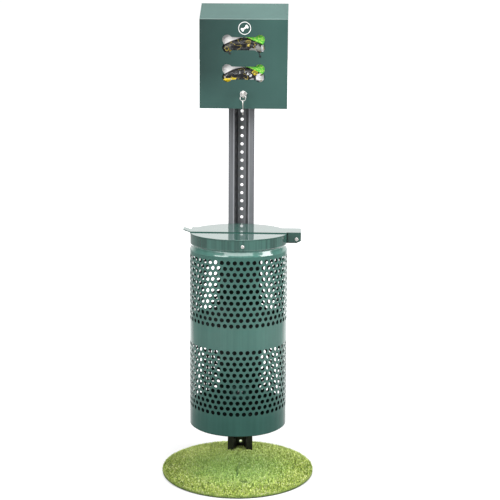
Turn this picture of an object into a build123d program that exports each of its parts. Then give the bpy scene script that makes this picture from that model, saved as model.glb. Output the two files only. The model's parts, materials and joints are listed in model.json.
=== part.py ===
from build123d import *
import math
import os

# Dog waste bin: a perforated can with a hinged lid, and a locked bag dispenser above it, both bolted to
# one channel post that stands on a round plate under a disc of artificial turf.
# Millimetres. Origin on the ground at the can's axis; +X right, +Y to the rear, +Z up.

# ---------------------------------------------------------------- ground parts
BASE_R = 228.0
BASE_T = 3.0
TURF_R = 231.0
TURF_T = 12.0
TURF_SLOT_GAP = 0.6

# ---------------------------------------------------------------- post (open channel, flanges to the front)
FLANGE_Y = 147.0
POST_T = 4.0
POST_DEPTH = 42.0
FLANGE_OUT = 39.6
FLANGE_IN = 21.5
WEB_HALF = 12.0
POST_TOP = 1398.0
HOLE_PITCH = 25.4
HOLE_Z0 = 27.8
HOLE_R = 4.75
LAST_HOLE = 53
WEB_FRONT = FLANGE_Y + POST_DEPTH - POST_T
WEB_REAR = FLANGE_Y + POST_DEPTH

# ---------------------------------------------------------------- can
CAN_R = 146.4
SHEET = 1.5
CAN_BOTTOM = 157.5
WALL_LOW = 160.5
WALL_MID = 454.3
WALL_TOP = 697.5
CAN_TOP = 746.5
ROWS = 12
ROW_PITCH = 17.0
LOWER_ROW_Z = 227.5
UPPER_ROW_Z = 494.4
HOLES_PER_ROW = 48
PERF_R = 6.35
PERF_TURN = 2.4
PLAIN_HALF_ANGLE = 27.0
LAP = 0.1
FACE_GAP = 0.05
SKIRT = 9.0
NECK_R, NECK_Z = 139.9, 712.5
COLLAR_R, COLLAR_Z = 146.1, 718.0
SHOULDER_Z = 698.5
SHOULDER_ROUND, NECK_ROUND = 9.0, 2.5
FLOOR_RIM = 20.0
FLOOR_BEND = 3.5
DRAIN_R, DRAIN_CIRCLE, DRAINS = 4.0, 70.0, 6

# ---------------------------------------------------------------- can and dispenser bolts
BOLT_R = 4.0
BOLT_HOLE_R = 4.5
BOLT_HEAD_R, BOLT_HEAD_H = 9.0, 5.0
THREAD_GAP = 0.05
NUT_FLATS, NUT_H = 13.0, 6.5
WASHER_R, WASHER_T = 9.0, 1.6
SPACER_R = 8.0
BOLT_TAIL = 4.0
CAN_BOLT_HOLES = (7, 25)
CASE_BOLT_HOLES = (44, 52)
SADDLE_HALF_X, SADDLE_HALF_Z = 38.0, 20.0
BACKING_HALF_ANGLE, BACKING_T = 11.0, 2.5
BACKING_GAP, BACKING_SAG = 0.15, 0.4

# ---------------------------------------------------------------- lid and its hinge
LID_R = 146.6
LID_T = 3.0
REST_GAP = 0.3
STRAP_T = 2.5
STRAP_FRONT, STRAP_REAR = -28.0, 56.0
STRAP_LEFT = -143.0
TAB_REAR = 17.0
TAB_RUN, TAB_RISE, TAB_ROUND = 21.0, 7.0, 6.0
EAR_LEFT, EAR_RIGHT = 143.0, 186.0
EAR_FRONT = -22.0
EAR_LIP_LEFT = 148.0
LIP_Z, LIP_END_Z, LIP_BEND_X = 722.5, 726.5, 176.0
PIVOT_X, PIVOT_Z = 173.0, 732.5
PIVOT_R = 3.0
RUN_GAP = 0.06
PIVOT_HEAD_R, PIVOT_HEAD_H = 5.25, 4.5
PIVOT_NUT_FLATS, PIVOT_NUT_H, PIVOT_TAIL = 10.0, 5.0, 2.0
PIVOT_WASHER_R = 6.5
SOCKET_FLATS, SOCKET_DEPTH = 4.0, 2.5
ARM_T = 2.5
ARM_GAP = 0.7
ARM_RIGHT, ARM_LOW, ARM_HIGH = 181.0, 720.0, 746.0
ARM_ROOT, ARM_CUT = 15.0, 7.0
BRIDGE_X = 150.0
RIVET_X, RIVET_Z = 18.5, 729.5
RIVET_R, RIVET_HEAD_R, RIVET_HEAD_H = 2.4, 5.0, 2.2

# ---------------------------------------------------------------- dispenser
BOX_X = 9.0
BOX_SHEET = 1.6
FACE_Y = 61.0
FACE_LOW, FACE_HIGH = 1110.0, 1372.0
HOOD_SLOPE = math.radians(28.66)
HOOD_REAR = 146.0
COVER_HALF = 130.5
CASE_HALF = 128.5
CASE_LOW = 1112.4
CASE_FRONT = 63.4
CASE_BACK_TOP = 1399.0
CASE_SIDE_REAR = 130.0
CASE_TOP_GAP = 3.2
CHEEK_DEPTH = 14.0
CHEEK_DROP = 1.2
CHEEK_REAR = 134.0
BEND_R = 3.0

HINGE_Y, HINGE_Z = 142.2, 1411.1
KNUCKLE_R, HINGE_PIN_R = 3.0, 1.5
HINGE_HALF = 123.5
KNUCKLES = 11
KNUCKLE_GAP = 0.4
LEAF_T = 1.4
LEAF_W = 22.0

BONE_Z = (1300.6, 1214.6)
BONE_HALF_W, BONE_HALF_H, NECK_HALF_H = 62.8, 26.0, 19.0
LOBE_R = 14.5
BONE_FILLET = 8.0

EMBLEM_X, EMBLEM_Z = 12.0, 1345.5
EMBLEM_R, EMBLEM_LINE, EMBLEM_T = 18.6, 1.7, 0.3
MARK_HALF_W, MARK_HALF_H, MARK_NECK, MARK_TILT = 11.5, 5.6, 2.3, 35.0
MARK_LOBE_R, MARK_FILLET = 3.3, 1.0

# ---------------------------------------------------------------- bags and what holds them
BAG_PIN_R, BAG_PIN_X, BAG_PIN_UP, BAG_PIN_FRONT = 3.0, 38.0, 35.0, 71.0
PIN_FOOT_R, PIN_FOOT_T = 7.0, 2.0
CARD_HALF_W, CARD_LOW, CARD_HIGH = 63.5, -2.0, 41.0
CARD_Y, CARD_T = 74.0, 6.0
CARD_HOLE_R = 3.4
BAG_HALF_W, BAG_LOW, BAG_HIGH = 63.0, -38.0, 20.0
BAG_FRONT, BAG_REAR = 66.0, 124.0
BAG_FOLD_HIGH, BAG_FOLD_FLAT = 16.0, 20.0
BAG_ROUND = 6.0
BAG_GAP = 0.4

# ---------------------------------------------------------------- lock and keys
LOCK_Z = 1153.0
LOCK_HEAD_R, LOCK_HEAD_H = 9.75, 3.0
LOCK_R, LOCK_REAR = 8.0, 84.5
LOCK_HOLE_R = 8.2
LOCK_NUT_FLATS, LOCK_NUT_T = 22.0, 3.5
PLUG_R, PLUG_FRONT, PLUG_REAR = 5.5, 57.4, 88.2
CAM_T, CAM_HALF_W, CAM_LENGTH = 2.5, 7.0, 30.0
SCREW_R, SCREW_HEAD_R, SCREW_HEAD_H, SCREW_DEPTH, SCREW_SLOT = 1.9, 4.0, 2.4, 8.0, 1.0
KEY_T, KEY_HALF_H, KEY_BOW_R = 2.0, 3.6, 11.0
KEY_GAP = 0.15
KEY_BOW_Y, KEY_HOLE_R, KEY_HOLE_OFF = 43.0, 3.0, 6.0
KEY_TIP_Y = 80.0
NOTCHES, NOTCH, NOTCH_PITCH, NOTCH_STEP = 4, 2.2, 4.0, 0.3
RING_R, RING_WIRE_R = 8.5, 0.9
RING_GAP = 0.3
SPARE_BLADE = 22.0
STRIKE_HALF, STRIKE_Y, STRIKE_T, STRIKE_TOP, STRIKE_FOOT = 14.0, 86.0, 1.6, 1136.0, 18.0


def web_hole_z(index):
    """Height of one of the post's evenly spaced holes."""
    return HOLE_Z0 + HOLE_PITCH * index


def rod(radius, y0, y1, x=0.0, z=0.0):
    """A round bar along Y from y0 to y1."""
    return Pos(x, (y0 + y1) / 2, z) * Rot(90, 0, 0) * Cylinder(radius, y1 - y0)


def block(x0, x1, y0, y1, z0, z1):
    """A box given by its six faces."""
    return Pos((x0 + x1) / 2, (y0 + y1) / 2, (z0 + z1) / 2) * Box(x1 - x0, y1 - y0, z1 - z0)


def plate_yz(points, x0, x1):
    """A flat outline in Y and Z, extruded from x0 to x1."""
    outline = make_face(Polyline(*points, close=True))
    face = Plane(origin=(x0, 0, 0), x_dir=(0, 1, 0), z_dir=(1, 0, 0)) * outline
    return extrude(face, amount=x1 - x0, dir=(1, 0, 0))


def plate_xz(points, y0, y1):
    """A flat outline in X and Z, extruded from y0 to y1."""
    outline = make_face(Polyline(*points, close=True))
    face = Plane(origin=(0, y0, 0), x_dir=(1, 0, 0), z_dir=(0, -1, 0)) * outline
    return extrude(face, amount=y1 - y0, dir=(0, 1, 0))


def hex_nut(flats, height, hole_r, y0, x=0.0, z=0.0):
    """A hexagonal nut with its axis along Y, from y0 rearwards."""
    body = extrude(RegularPolygon(flats / 2, 6, major_radius=False), amount=height)
    body = body - Cylinder(hole_r, 4 * height)
    return Pos(x, y0, z) * Rot(-90, 0, 0) * body


def revolved(points, rounds=()):
    """A ring turned about Z from an outline in radius and height, with some corners rounded."""
    outline = make_face(Polyline(*points, close=True))
    for radius, corners in rounds:
        near = [v for v in outline.vertices() if any(abs(v.X - r) + abs(v.Y - z) < LAP for r, z in corners)]
        outline = fillet(near, radius)
    return revolve(Plane.XZ * outline, Axis.Z)


# ================================================================ ground parts and post
def base_plate():
    plate = Pos(0, 0, BASE_T / 2) * Cylinder(BASE_R, BASE_T)
    return chamfer(plate.edges().group_by(Axis.Z)[-1], 1.0)


def channel_outline():
    """The channel's section: flange, sloping side, web, sloping side, flange."""
    slope = (FLANGE_IN - WEB_HALF) / (POST_DEPTH - POST_T)
    skew = POST_T * math.hypot(1, slope)

    def side(y):
        return FLANGE_IN - slope * (y - FLANGE_Y)

    flange_rear = FLANGE_Y + POST_T
    inner = [(FLANGE_OUT, FLANGE_Y), (FLANGE_IN, FLANGE_Y), (WEB_HALF, WEB_FRONT)]
    outer = [
        (side(WEB_REAR) + skew, WEB_REAR),
        (side(flange_rear) + skew, flange_rear),
        (FLANGE_OUT, flange_rear),
    ]
    left_inner = [(-x, y) for x, y in reversed(inner)]
    left_outer = [(-x, y) for x, y in reversed(outer)]
    return inner + left_inner + left_outer + outer


def turf_mat():
    """The turf disc, with a slot of the post's own section."""
    mat = Pos(0, 0, BASE_T + TURF_T / 2) * Cylinder(TURF_R, TURF_T)
    section = make_face(Polyline(*channel_outline(), close=True))
    slot = extrude(offset(section, TURF_SLOT_GAP, kind=Kind.INTERSECTION), amount=4 * TURF_T)
    return mat - slot


def post():
    """The channel, welded upright on the base plate."""
    section = make_face(Polyline(*channel_outline(), close=True))
    bar = Pos(0, 0, BASE_T) * extrude(section, amount=POST_TOP - BASE_T)
    holes = [rod(HOLE_R, WEB_FRONT - 1, WEB_REAR + 1, z=web_hole_z(i)) for i in range(LAST_HOLE + 1)]
    return bar - holes


# ================================================================ bolts, washers and nuts along Y
def dome_bolt(head_y, tip_y, z):
    """A round-headed bolt: the head's flat side at head_y, the shank's end at tip_y."""
    head = rod(BOLT_HEAD_R, head_y - BOLT_HEAD_H, head_y, z=z)
    head = fillet(head.edges().group_by(Axis.Y)[0], BOLT_HEAD_H * 0.7)
    return head + rod(BOLT_R, head_y - 1, tip_y, z=z)


def washer(y0, z):
    return rod(WASHER_R, y0, y0 + WASHER_T, z=z) - rod(BOLT_HOLE_R, y0 - 1, y0 + WASHER_T + 1, z=z)


def rear_washers(rear_y, holes):
    return [washer(rear_y, web_hole_z(i)) for i in holes]


def rear_nuts(rear_y, holes):
    return [
        hex_nut(NUT_FLATS, NUT_H, BOLT_R + THREAD_GAP, rear_y + WASHER_T, z=web_hole_z(i)) for i in holes
    ]


def through_bolts(head_y, rear_y, holes):
    tip = rear_y + WASHER_T + NUT_H + BOLT_TAIL
    return [dome_bolt(head_y, tip, web_hole_z(i)) for i in holes]


def channel_spacers(holes):
    """Tubes inside the channel that keep the bolts from crushing it."""
    tubes = []
    for i in holes:
        z = web_hole_z(i)
        tube = rod(SPACER_R, FLANGE_Y, WEB_FRONT, z=z)
        tubes.append(tube - rod(BOLT_HOLE_R, FLANGE_Y - 1, WEB_FRONT + 1, z=z))
    return tubes


# ================================================================ can
def perforations(first_z):
    """Rows of radial hole cutters, each row turned half a pitch from the last, none at the rear strip."""
    cutters = []
    step = 360 / HOLES_PER_ROW
    cutter = Pos(CAN_R, 0, 0) * Rot(0, 90, 0) * Cylinder(PERF_R, 4 * SHEET + 2)
    for row in range(ROWS):
        z = first_z + ROW_PITCH * row
        for i in range(HOLES_PER_ROW):
            angle = PERF_TURN + step * (i + 0.5 * (row % 2))
            from_rear = abs((angle - 90 + 180) % 360 - 180)
            if from_rear > PLAIN_HALF_ANGLE:
                cutters.append(Pos(0, 0, z) * Rot(0, 0, angle) * cutter)
    return cutters


def can_wall(z0, z1, first_row_z, bolt_hole):
    """One rolled and perforated course of the can's wall."""
    height = z1 - z0
    wall = Pos(0, 0, z0 + height / 2) * (Cylinder(CAN_R, height) - Cylinder(CAN_R - SHEET, 2 * height))
    wall = wall - rod(BOLT_HOLE_R, NECK_R, CAN_R + 1, z=web_hole_z(bolt_hole))
    return wall - perforations(first_row_z)


def can_collar():
    """The spun top ring: skirt inside the wall, shoulder, neck groove and upright collar."""
    skirt_r = CAN_R - SHEET - LAP
    step_z = WALL_TOP + LAP
    outer = [
        (skirt_r, WALL_TOP - SKIRT), (skirt_r, step_z), (CAN_R, step_z), (CAN_R, SHOULDER_Z + 2),
        (NECK_R, NECK_Z), (COLLAR_R, COLLAR_Z), (COLLAR_R, CAN_TOP),
    ]
    inner = [
        (COLLAR_R - SHEET, CAN_TOP), (COLLAR_R - SHEET, COLLAR_Z), (NECK_R - SHEET, NECK_Z),
        (CAN_R - 2 * SHEET, SHOULDER_Z), (skirt_r - SHEET, step_z), (skirt_r - SHEET, WALL_TOP - SKIRT),
    ]
    rounds = [
        (SHOULDER_ROUND, [(CAN_R, SHOULDER_Z + 2)]),
        (NECK_ROUND, [(NECK_R, NECK_Z), (COLLAR_R, COLLAR_Z)]),
        (NECK_ROUND - SHEET / 2, [(COLLAR_R - SHEET, COLLAR_Z), (NECK_R - SHEET, NECK_Z)]),
    ]
    ring = revolved(outer + inner, rounds)
    return ring - rivet_frame() * Cylinder(RIVET_R + 0.1, 12)


def can_floor():
    """A pressed pan with a rounded lower corner, an upright rim and drain holes."""
    rim_r = CAN_R - SHEET - LAP
    rim_z = CAN_BOTTOM + FLOOR_RIM
    sheet_z = CAN_BOTTOM + SHEET
    outline = [
        (0, CAN_BOTTOM), (rim_r, CAN_BOTTOM), (rim_r, rim_z),
        (rim_r - SHEET, rim_z), (rim_r - SHEET, sheet_z), (0, sheet_z),
    ]
    bends = [
        (FLOOR_BEND, [(rim_r, CAN_BOTTOM)]),
        (FLOOR_BEND - SHEET, [(rim_r - SHEET, sheet_z)]),
    ]
    drain = Pos(DRAIN_CIRCLE, 0, CAN_BOTTOM) * Cylinder(DRAIN_R, 6 * SHEET)
    return revolved(outline, bends) - [Rot(0, 0, 360 / DRAINS * k) * drain for k in range(DRAINS)]


def can_saddles():
    """Blocks that fit the round wall to the flat flanges, one at each bolt."""
    blocks = []
    front, rear = NECK_R - 8, FLANGE_Y - FACE_GAP
    for i in CAN_BOLT_HOLES:
        z = web_hole_z(i)
        piece = block(-SADDLE_HALF_X, SADDLE_HALF_X, front, rear, z - SADDLE_HALF_Z, z + SADDLE_HALF_Z)
        piece = piece - Pos(0, 0, z) * Cylinder(CAN_R + FACE_GAP, 4 * SADDLE_HALF_Z)
        blocks.append(piece - rod(BOLT_HOLE_R, front, FLANGE_Y + 1, z=z))
    return blocks


def can_backing_plates():
    """Curved plates inside the can that spread the bolts' load."""
    plates = []
    outer_r = CAN_R - SHEET - BACKING_GAP
    for i in CAN_BOLT_HOLES:
        z = web_hole_z(i)
        ring = Cylinder(outer_r, 2 * SADDLE_HALF_Z) - Cylinder(outer_r - BACKING_T, 4 * SADDLE_HALF_Z)
        half = outer_r * math.sin(math.radians(BACKING_HALF_ANGLE))
        plate = Pos(0, 0, z) * (ring & block(-half, half, 0, CAN_R, -SADDLE_HALF_Z, SADDLE_HALF_Z))
        plates.append(plate - rod(BOLT_HOLE_R, NECK_R - 8, CAN_R, z=z))
    return plates


def rivet_frame():
    """A frame on the collar's face with its Z axis pointing out of the collar."""
    angle = math.degrees(math.asin(RIVET_X / COLLAR_R)) - 90
    return Pos(0, 0, RIVET_Z) * Rot(0, 0, angle) * Pos(COLLAR_R, 0, 0) * Rot(0, 90, 0)


def collar_rivet():
    head = Pos(0, 0, RIVET_HEAD_H / 2) * Cylinder(RIVET_HEAD_R, RIVET_HEAD_H)
    head = fillet(head.edges().group_by(Axis.Z)[-1], RIVET_HEAD_H * 0.7)
    shank = Pos(0, 0, -SHEET) * Cylinder(RIVET_R, 2 * SHEET + 0.5)
    tail = Pos(0, 0, -2 * SHEET - 0.25) * Cylinder(RIVET_HEAD_R - 1, SHEET)
    return rivet_frame() * (Pos(0, 0, 0.15) * head + shank + tail)


# ================================================================ lid
LID_LOW = CAN_TOP + REST_GAP
STRAP_LOW = LID_LOW + LID_T
STRAP_HIGH = STRAP_LOW + STRAP_T


def lid_plate():
    disc = Pos(0, 0, LID_LOW + LID_T / 2) * Cylinder(LID_R, LID_T)
    return fillet(disc.edges().group_by(Axis.Z)[-1], 1.0)


def lid_strap():
    """The strap across the lid: lift tab at the left, hinge ear with two turned-down sides at the right."""
    middle = block(STRAP_LEFT, EAR_LEFT, STRAP_FRONT, STRAP_REAR, STRAP_LOW, STRAP_HIGH)
    ear = block(EAR_LEFT - 1, EAR_RIGHT, EAR_FRONT, STRAP_REAR, STRAP_LOW, STRAP_HIGH)
    tip_x = STRAP_LEFT - TAB_RUN
    tab = plate_xz(
        [
            (STRAP_LEFT + 1, STRAP_LOW), (STRAP_LEFT, STRAP_LOW), (tip_x, STRAP_LOW + TAB_RISE),
            (tip_x, STRAP_HIGH + TAB_RISE), (STRAP_LEFT, STRAP_HIGH), (STRAP_LEFT + 1, STRAP_HIGH),
        ],
        STRAP_FRONT, TAB_REAR,
    )
    upright = tab.edges().filter_by(Axis.Z)
    tab = fillet([e for e in upright if abs(e.center().X - tip_x) < LAP], TAB_ROUND)
    lip = [
        (EAR_LIP_LEFT, STRAP_LOW + 1), (EAR_LIP_LEFT, LIP_Z), (LIP_BEND_X, LIP_Z),
        (EAR_RIGHT, LIP_END_Z), (EAR_RIGHT, STRAP_LOW + 1),
    ]
    front_lip = plate_xz(lip, EAR_FRONT, EAR_FRONT + STRAP_T)
    rear_lip = plate_xz(lip, STRAP_REAR - STRAP_T, STRAP_REAR)
    strap = middle + ear + tab + front_lip + rear_lip
    return strap - rod(PIVOT_R + RUN_GAP, EAR_FRONT - 1, STRAP_REAR + 1, PIVOT_X, PIVOT_Z)


def hinge_bracket():
    """Two arms and a bridge welded to the collar, inside the ear's sides."""
    front = EAR_FRONT + STRAP_T + ARM_GAP
    rear = STRAP_REAR - STRAP_T - ARM_GAP
    root_x = COLLAR_R - ARM_ROOT
    arm = [
        (root_x, ARM_LOW), (ARM_RIGHT - ARM_CUT, ARM_LOW), (ARM_RIGHT, ARM_LOW + ARM_CUT),
        (ARM_RIGHT, ARM_HIGH - ARM_CUT), (ARM_RIGHT - ARM_CUT, ARM_HIGH), (root_x, ARM_HIGH),
    ]
    arms = plate_xz(arm, front, front + ARM_T) + plate_xz(arm, rear - ARM_T, rear)
    bridge = block(BRIDGE_X, BRIDGE_X + ARM_T, front, rear, ARM_LOW, ARM_HIGH)
    bracket = arms + bridge
    bracket = bracket - Pos(0, 0, PIVOT_Z) * Cylinder(COLLAR_R + FACE_GAP, 4 * (ARM_HIGH - ARM_LOW))
    return bracket - rod(PIVOT_R + RUN_GAP, front - 1, rear + 1, PIVOT_X, PIVOT_Z)


def hinge_bolt():
    head_y = EAR_FRONT - REST_GAP
    tip = STRAP_REAR + REST_GAP + WASHER_T + PIVOT_NUT_H + PIVOT_TAIL
    head = rod(PIVOT_HEAD_R, head_y - PIVOT_HEAD_H, head_y, PIVOT_X, PIVOT_Z)
    head = fillet(head.edges().group_by(Axis.Y)[0], 1.0)
    hexagon = RegularPolygon(SOCKET_FLATS / 2, 6, major_radius=False)
    socket = extrude(hexagon, amount=SOCKET_DEPTH, both=True)
    head = head - Pos(PIVOT_X, head_y - PIVOT_HEAD_H, PIVOT_Z) * Rot(90, 0, 0) * socket
    return head + rod(PIVOT_R, head_y - 1, tip, PIVOT_X, PIVOT_Z)


def hinge_washer():
    y0 = STRAP_REAR + REST_GAP
    y1 = y0 + WASHER_T
    ring = rod(PIVOT_WASHER_R, y0, y1, PIVOT_X, PIVOT_Z)
    return ring - rod(PIVOT_R + RUN_GAP, y0 - 1, y1 + 1, PIVOT_X, PIVOT_Z)


def hinge_nut():
    y0 = STRAP_REAR + REST_GAP + WASHER_T
    return hex_nut(PIVOT_NUT_FLATS, PIVOT_NUT_H, PIVOT_R + THREAD_GAP, y0, PIVOT_X, PIVOT_Z)


# ================================================================ dispenser
def hood_z(y, drop=0.0):
    """Height of the hood's upper surface at y, or of the line drop below it."""
    return FACE_HIGH + math.tan(HOOD_SLOPE) * (y - FACE_Y) - drop


def case():
    """The back, floor and sides of the box, one folded sheet, open to the front."""
    outline = [
        (CASE_FRONT, CASE_LOW), (CASE_FRONT, hood_z(CASE_FRONT, CASE_TOP_GAP)),
        (CASE_SIDE_REAR, hood_z(CASE_SIDE_REAR, CASE_TOP_GAP)), (CASE_SIDE_REAR, CASE_BACK_TOP),
        (FLANGE_Y, CASE_BACK_TOP), (FLANGE_Y, CASE_LOW),
    ]
    solid = plate_yz(outline, -CASE_HALF, CASE_HALF)
    hollow = block(
        -CASE_HALF + BOX_SHEET, CASE_HALF - BOX_SHEET, FACE_Y - 5, FLANGE_Y - BOX_SHEET,
        CASE_LOW + BOX_SHEET, FACE_HIGH + 100,
    )
    shell = Pos(BOX_X, 0, 0) * (solid - hollow)
    holes = [rod(BOLT_HOLE_R, FLANGE_Y - 5, FLANGE_Y + 5, z=web_hole_z(i)) for i in CASE_BOLT_HOLES]
    return shell - holes


def bone_outline(half_w, half_h, lobe_r, neck_half, blend_r):
    """A bone: four round lobes joined by a straight neck, with softened inner corners."""
    x, z = half_w - lobe_r, half_h - lobe_r
    shape = Rectangle(2 * x, 2 * neck_half)
    for sx in (-1, 1):
        for sz in (-1, 1):
            shape = shape + Pos(sx * x, sz * z) * Circle(lobe_r)
    corners = [v for v in shape.vertices() if abs(v.X) < x + lobe_r and abs(v.Y) > LAP]
    return fillet(corners, blend_r)


def on_face(outline, y, depth):
    """An outline drawn in X and Z, extruded rearwards from y."""
    face = Plane(origin=(0, y, 0), x_dir=(1, 0, 0), z_dir=(0, -1, 0)) * outline
    return extrude(face, amount=depth, dir=(0, 1, 0))


def cover():
    """The front: face and hood bent from one sheet, with cheeks that lap over the case's sides."""
    drop = BOX_SHEET / math.cos(HOOD_SLOPE)
    inner_y = FACE_Y + BOX_SHEET
    sheet = plate_yz(
        [
            (FACE_Y, FACE_LOW), (FACE_Y, FACE_HIGH), (HOOD_REAR, hood_z(HOOD_REAR)),
            (HOOD_REAR, hood_z(HOOD_REAR, drop)), (inner_y, hood_z(inner_y, drop)), (inner_y, FACE_LOW),
        ],
        -COVER_HALF, COVER_HALF,
    )
    at_face = [e for e in sheet.edges() if abs(e.center().Y - FACE_Y) < LAP]
    sheet = fillet([e for e in at_face if abs(e.center().Z - FACE_HIGH) < LAP], BEND_R)
    cheek_front, cheek_in = FACE_Y + 1, FACE_Y + CHEEK_DEPTH
    cheek = [
        (cheek_front, FACE_LOW), (cheek_front, hood_z(cheek_front, CHEEK_DROP)),
        (CHEEK_REAR, hood_z(CHEEK_REAR, CHEEK_DROP)), (CHEEK_REAR, hood_z(CHEEK_REAR, CHEEK_DEPTH)),
        (cheek_in, hood_z(cheek_in, CHEEK_DEPTH)), (cheek_in, FACE_LOW),
    ]
    shell = sheet + plate_yz(cheek, -COVER_HALF, -COVER_HALF + BOX_SHEET)
    shell = shell + plate_yz(cheek, COVER_HALF - BOX_SHEET, COVER_HALF)
    bone = bone_outline(BONE_HALF_W, BONE_HALF_H, LOBE_R, NECK_HALF_H, BONE_FILLET)
    cuts = [on_face(Pos(0, z) * bone, FACE_Y - 1, 4) for z in BONE_Z]
    shell = shell - cuts - rod(LOCK_HOLE_R, FACE_Y - 1, FACE_Y + 4, z=LOCK_Z)
    return Pos(BOX_X, 0, 0) * shell


def knuckle_spans(first):
    """The stretches along X of every second knuckle, from the one numbered first."""
    width = 2 * HINGE_HALF / KNUCKLES
    return [
        (-HINGE_HALF + width * i + KNUCKLE_GAP / 2, -HINGE_HALF + width * (i + 1) - KNUCKLE_GAP / 2)
        for i in range(first, KNUCKLES, 2)
    ]


def leaf(first, flat):
    """One leaf of the continuous hinge: its flat part and its own knuckles, all on one pin line."""
    shape = flat
    for x0, x1 in knuckle_spans(first):
        tube = Pos((x0 + x1) / 2, HINGE_Y, HINGE_Z) * Rot(0, 90, 0) * Cylinder(KNUCKLE_R, x1 - x0)
        shape = shape + tube
    for x0, x1 in knuckle_spans(1 - first):
        room = Cylinder(KNUCKLE_R + KNUCKLE_GAP / 2, x1 - x0 + 2 * KNUCKLE_GAP)
        shape = shape - Pos((x0 + x1) / 2, HINGE_Y, HINGE_Z) * Rot(0, 90, 0) * room
    bore = Pos(0, HINGE_Y, HINGE_Z) * Rot(0, 90, 0) * Cylinder(HINGE_PIN_R + RUN_GAP, 4 * HINGE_HALF)
    return Pos(BOX_X, 0, 0) * (shape - bore)


def hinge_leaf_back():
    rear = HINGE_Y + KNUCKLE_R
    flat = block(-HINGE_HALF, HINGE_HALF, rear - LEAF_T, rear, HINGE_Z - LEAF_W, HINGE_Z)
    return leaf(0, flat)


def hinge_leaf_cover():
    """The leaf under the hood, tangent to the knuckles' upper side."""
    flat = block(-HINGE_HALF, HINGE_HALF, -LEAF_W, 0, KNUCKLE_R - LEAF_T, KNUCKLE_R - 0.02)
    flat = Pos(0, HINGE_Y, HINGE_Z) * Rot(math.degrees(HOOD_SLOPE), 0, 0) * flat
    return leaf(1, flat)


def cover_hinge_pin():
    return Pos(BOX_X, HINGE_Y, HINGE_Z) * Rot(0, 90, 0) * Cylinder(HINGE_PIN_R, 2 * HINGE_HALF + 2)


def front_emblem():
    """A ring with a small bone in it, thin vinyl on the face."""
    ring = Circle(EMBLEM_R) - Circle(EMBLEM_R - EMBLEM_LINE)
    bone = Rot(0, 0, MARK_TILT) * bone_outline(MARK_HALF_W, MARK_HALF_H, MARK_LOBE_R, MARK_NECK, MARK_FILLET)
    return [on_face(Pos(EMBLEM_X, EMBLEM_Z) * s, FACE_Y - EMBLEM_T, EMBLEM_T) for s in (ring, bone)]


# ================================================================ bags
def bag_pins():
    """Four welded studs that the bag headers hang on."""
    studs = []
    back = FLANGE_Y - BOX_SHEET
    for z in BONE_Z:
        for side in (-1, 1):
            x = BOX_X + side * BAG_PIN_X
            stud = rod(BAG_PIN_R, BAG_PIN_FRONT, back, x, z + BAG_PIN_UP)
            stud = fillet(stud.edges().group_by(Axis.Y)[0], 1.0)
            studs.append(stud + rod(PIN_FOOT_R, back - PIN_FOOT_T, back, x, z + BAG_PIN_UP))
    return studs


def header_card(z):
    """The stack of punched cards that the bags are bound to."""
    card = block(-CARD_HALF_W, CARD_HALF_W, CARD_Y, CARD_Y + CARD_T, z + CARD_LOW, z + CARD_HIGH)
    for side in (-1, 1):
        card = card - rod(CARD_HOLE_R, CARD_Y - 1, CARD_Y + CARD_T + 1, side * BAG_PIN_X, z + BAG_PIN_UP)
    return Pos(BOX_X, 0, 0) * card


def bag_pack(z):
    """The folded bags: a bundle behind and below the card, and a fold bulging forward at the cut-out."""
    low = z + BAG_LOW
    bundle = block(-BAG_HALF_W, BAG_HALF_W, CARD_Y + CARD_T + BAG_GAP, BAG_REAR, low, z + BAG_HIGH)
    bundle = fillet(bundle.edges().filter_by(Axis.X), BAG_ROUND)
    under_rear = BAG_REAR - 2 * BAG_ROUND
    under = block(-BAG_HALF_W, BAG_HALF_W, BAG_FRONT, under_rear, low, z + CARD_LOW - BAG_GAP)
    under = fillet(under.edges().filter_by(Axis.X).group_by(Axis.Y)[0], BAG_ROUND)
    fold_low, fold_end, fold_high = z + CARD_LOW - BAG_ROUND - 1, z + CARD_LOW, z + BAG_FOLD_HIGH
    fold = plate_xz(
        [
            (-BAG_HALF_W, fold_low), (-BAG_HALF_W, fold_end), (-BAG_FOLD_FLAT, fold_high),
            (BAG_FOLD_FLAT, fold_high), (BAG_HALF_W, fold_end), (BAG_HALF_W, fold_low),
        ],
        BAG_FRONT, CARD_Y - BAG_GAP,
    )
    return Pos(BOX_X, 0, 0) * (bundle + under + fold)


# ================================================================ lock and keys
def lock_body():
    head = rod(LOCK_HEAD_R, FACE_Y - LOCK_HEAD_H, FACE_Y, z=LOCK_Z)
    head = fillet(head.edges().group_by(Axis.Y)[0], 1.0)
    body = head + rod(LOCK_R, FACE_Y - 1, LOCK_REAR, z=LOCK_Z)
    return Pos(BOX_X, 0, 0) * (body - rod(PLUG_R + RUN_GAP, FACE_Y - 10, LOCK_REAR + 1, z=LOCK_Z))


def lock_nut():
    return hex_nut(LOCK_NUT_FLATS, LOCK_NUT_T, LOCK_R + THREAD_GAP, FACE_Y + BOX_SHEET, BOX_X, LOCK_Z)


def lock_plug():
    """The turning core, with the keyway from the front and the cam screw's hole at the rear."""
    plug = rod(PLUG_R, PLUG_FRONT, PLUG_REAR, z=LOCK_Z)
    slot_x, slot_z = KEY_T / 2 + KEY_GAP, KEY_HALF_H + KEY_GAP
    way = block(-slot_x, slot_x, PLUG_FRONT - 1, KEY_TIP_Y + 0.5, LOCK_Z - slot_z, LOCK_Z + slot_z)
    hole = rod(SCREW_R + THREAD_GAP, PLUG_REAR - SCREW_DEPTH + 1, PLUG_REAR + 1, z=LOCK_Z)
    return Pos(BOX_X, 0, 0) * (plug - way - hole)


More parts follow.
